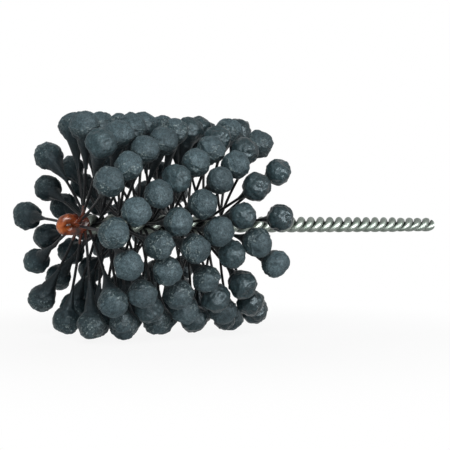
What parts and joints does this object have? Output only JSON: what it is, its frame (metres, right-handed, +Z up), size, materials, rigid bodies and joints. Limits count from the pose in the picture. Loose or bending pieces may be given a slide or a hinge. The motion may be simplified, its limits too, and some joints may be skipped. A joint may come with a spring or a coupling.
{
  "type": "abrasive bore brush",
  "caption": "flexible ball hone: abrasive globules on nylon filaments held in a twisted wire stem, spun in a drill to deburr and hone a bore",
  "frame": {"origin": "on the stem axis, in the plane of the shank's cut end", "axes": "+X runs along the stem from the looped tip to the shank end, +Z is up with the hone lying on its side"},
  "size_m": [0.2045, 0.0932, 0.0934],
  "materials": {
    "galvanised_wire": "satin",
    "dip_coat": "gloss",
    "filament_nylon": "satin",
    "abrasive_globule": "matte"
  },
  "bodies": {
    "root": {"stem_wire": "galvanised_wire", "tip_coat": "dip_coat", "filaments_01": "filament_nylon", "filaments_02": "filament_nylon", "filaments_03": "filament_nylon", "filaments_04": "filament_nylon", "filaments_05": "filament_nylon", "filaments_06": "filament_nylon", "filaments_07": "filament_nylon", "filaments_08": "filament_nylon", "filaments_09": "filament_nylon", "filaments_10": "filament_nylon", "filaments_11": "filament_nylon", "filaments_12": "filament_nylon", "filaments_13": "filament_nylon", "filaments_14": "filament_nylon", "filaments_15": "filament_nylon", "filaments_16": "filament_nylon", "filaments_17": "filament_nylon", "filaments_18": "filament_nylon", "filaments_19": "filament_nylon", "filaments_20": "filament_nylon", "filaments_21": "filament_nylon", "filaments_22": "filament_nylon", "filaments_23": "filament_nylon", "filaments_24": "filament_nylon", "filaments_25": "filament_nylon", "filaments_26": "filament_nylon", "filaments_27": "filament_nylon", "filaments_28": "filament_nylon", "filaments_29": "filament_nylon", "globules_01": "abrasive_globule", "globules_02": "abrasive_globule", "globules_03": "abrasive_globule", "globules_04": "abrasive_globule", "globules_05": "abrasive_globule", "globules_06": "abrasive_globule", "globules_07": "abrasive_globule", "globules_08": "abrasive_globule", "globules_09": "abrasive_globule", "globules_10": "abrasive_globule", "globules_11": "abrasive_globule", "globules_12": "abrasive_globule", "globules_13": "abrasive_globule", "globules_14": "abrasive_globule", "globules_15": "abrasive_globule", "globules_16": "abrasive_globule", "globules_17": "abrasive_globule", "globules_18": "abrasive_globule", "globules_19": "abrasive_globule", "globules_20": "abrasive_globule", "globules_21": "abrasive_globule", "globules_22": "abrasive_globule", "globules_23": "abrasive_globule", "globules_24": "abrasive_globule", "globules_25": "abrasive_globule", "globules_26": "abrasive_globule", "globules_27": "abrasive_globule", "globules_28": "abrasive_globule", "globules_29": "abrasive_globule"}
  },
  "joints": []
}
